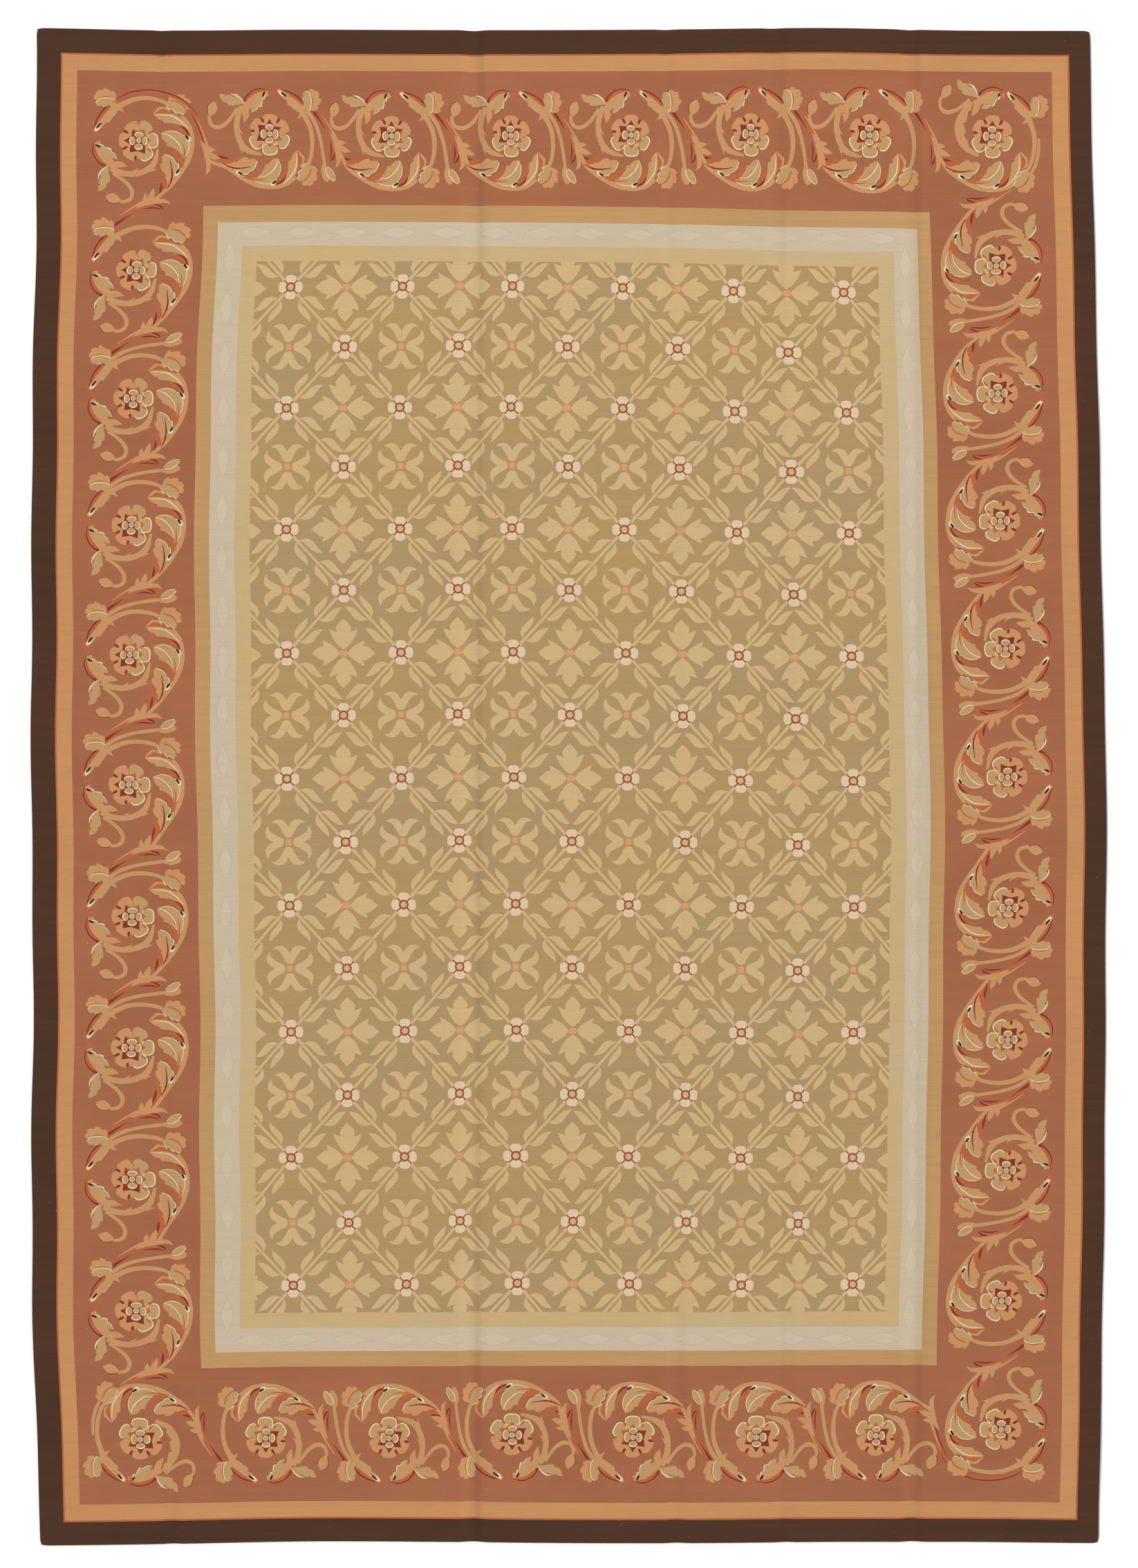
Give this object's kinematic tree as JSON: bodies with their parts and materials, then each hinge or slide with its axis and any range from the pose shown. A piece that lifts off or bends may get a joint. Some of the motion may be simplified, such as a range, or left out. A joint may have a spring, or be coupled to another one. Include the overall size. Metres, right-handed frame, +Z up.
{
  "type": "aubusson rug",
  "caption": "Flat-woven tapestry rug with a trellis field of rosettes and leaves and a scrolling leaf border, lying flat on a floor.",
  "frame": {"origin": "centre of the underside, on the floor", "axes": "+X across the width, +Y along the length towards the far end, +Z up from the floor"},
  "size_m": [2.6038, 3.6726, 0.0075],
  "materials": {
    "wool_tapestry": "flat-woven wool tapestry: dark brown edge, apricot guard, rust border with gold and khaki leaf scrolls, ochre, ivory and straw guards, olive field"
  },
  "bodies": {
    "root": {"rug": "wool_tapestry"}
  },
  "joints": []
}
